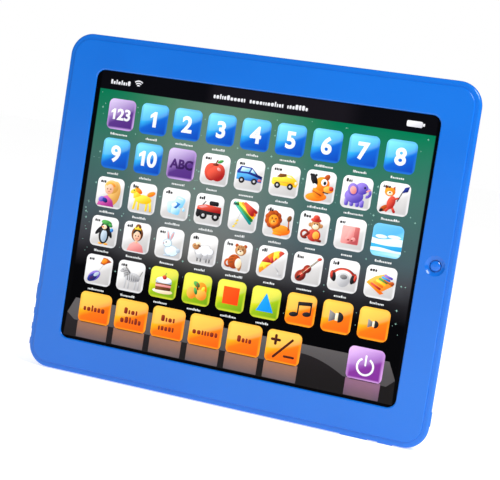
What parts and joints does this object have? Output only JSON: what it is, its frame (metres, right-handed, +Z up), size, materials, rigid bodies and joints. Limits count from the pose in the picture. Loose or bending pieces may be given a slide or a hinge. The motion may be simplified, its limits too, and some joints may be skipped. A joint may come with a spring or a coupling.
{
  "type": "toy tablet",
  "caption": "Child's landscape toy tablet with a rounded blue case, a recessed printed touch panel of picture keys, a round side button and a rear battery door.",
  "frame": {"origin": "centre of the bounding box in X and Y, at its lowest point in Z", "axes": "tablet stands upright: +X to the right of someone facing the screen, +Y from the screen into the case, +Z up"},
  "size_m": [0.2408, 0.023, 0.1944],
  "materials": {
    "casing_blue": "glossy moulded ABS",
    "cover_blue": "fine-textured moulded ABS",
    "foot_rubber": "soft matt rubber",
    "screw_steel": "zinc-plated steel",
    "printed_film": "printed polyester with a clear gloss face",
    "membrane_film": "translucent polyester film",
    "spacer_film": "adhesive spacer film",
    "button_blue": "glossy moulded ABS",
    "silicone": "translucent silicone",
    "board_green": "solder-masked board",
    "epoxy_black": "black epoxy",
    "capacitor_can": "sleeved aluminium can",
    "resonator_can": "drawn steel can",
    "resistor_black": "ceramic chips with tinned ends",
    "connector_white": "nylon",
    "gasket_foam": "foam",
    "speaker_steel": "blacked pressed steel",
    "magnet_grey": "ferrite and steel",
    "speaker_paper": "pressed paper",
    "surround_rubber": "rubber roll",
    "wire_red": "PVC sleeve",
    "wire_black": "PVC sleeve",
    "wire_white": "PVC sleeve",
    "cell_sleeve": "plain sleeved dry cell",
    "contact_nickel": "nickel-plated spring steel"
  },
  "bodies": {
    "case": {"front_bezel": "casing_blue", "rear_cover": "cover_blue", "rubber_feet": "foot_rubber", "case_screws": "screw_steel", "printed_overlay": "printed_film", "membrane_top_film": "membrane_film", "membrane_spacer": "spacer_film", "membrane_bottom_film": "membrane_film", "button_dome": "silicone", "button_board": "board_green", "button_board_screws": "screw_steel", "button_wires": "wire_white", "main_board": "board_green", "main_board_screws": "screw_steel", "main_chip": "epoxy_black", "board_capacitors": "capacitor_can", "board_resonator": "resonator_can", "board_transistor": "epoxy_black", "board_resistors": "resistor_black", "tail_connector": "connector_white", "speaker_gasket": "gasket_foam", "speaker_frame": "speaker_steel", "speaker_magnet": "magnet_grey", "speaker_surround": "surround_rubber", "speaker_screws": "screw_steel", "speaker_wire_red": "wire_red", "speaker_wire_black": "wire_black", "battery_cell_1": "cell_sleeve", "battery_cell_2": "cell_sleeve", "battery_cell_3": "cell_sleeve", "battery_contact_plates": "contact_nickel", "battery_springs": "contact_nickel", "battery_wire_red": "wire_red", "battery_wire_black": "wire_black"},
    "home_button": {"home_button": "button_blue"},
    "speaker_cone": {"speaker_cone": "speaker_paper"},
    "battery_door": {"battery_door": "cover_blue"},
    "door_screw_ring": {"battery_door_screw_ring": "foot_rubber"},
    "door_screw": {"battery_door_screw": "screw_steel"}
  },
  "joints": [
    {"name": "home_button_press", "type": "slide", "parent": "case", "child": "home_button", "axis": [0, 1, 0], "range_m": [0, 0.001], "stiffness_N_per_m": 2000, "deforming": ["button_dome"]},
    {"name": "speaker_cone_move", "type": "slide", "parent": "case", "child": "speaker_cone", "axis": [0, 1, 0], "range_m": [-0.0004, 0.0004], "stiffness_N_per_m": 1500, "deforming": ["speaker_surround"]},
    {"name": "battery_door_tilt", "type": "hinge", "parent": "case", "child": "battery_door", "pos_m": [0, 0.0105, 0.0305], "axis": [-1, 0, 0], "range_deg": [0, 65]},
    {"name": "screw_ring_slide", "type": "slide", "parent": "battery_door", "child": "door_screw_ring", "axis": [0, 1, 0], "range_m": [0, 0.0018]},
    {"name": "door_screw_turn", "type": "hinge", "parent": "door_screw_ring", "child": "door_screw", "pos_m": [0, 0.0085, 0.0885], "axis": [0, 1, 0], "range_deg": [0, 810]}
  ],
  "couplings": [
    {"joint": "door_screw_turn", "follows": "screw_ring_slide", "rad_per_m": 7854}
  ]
}
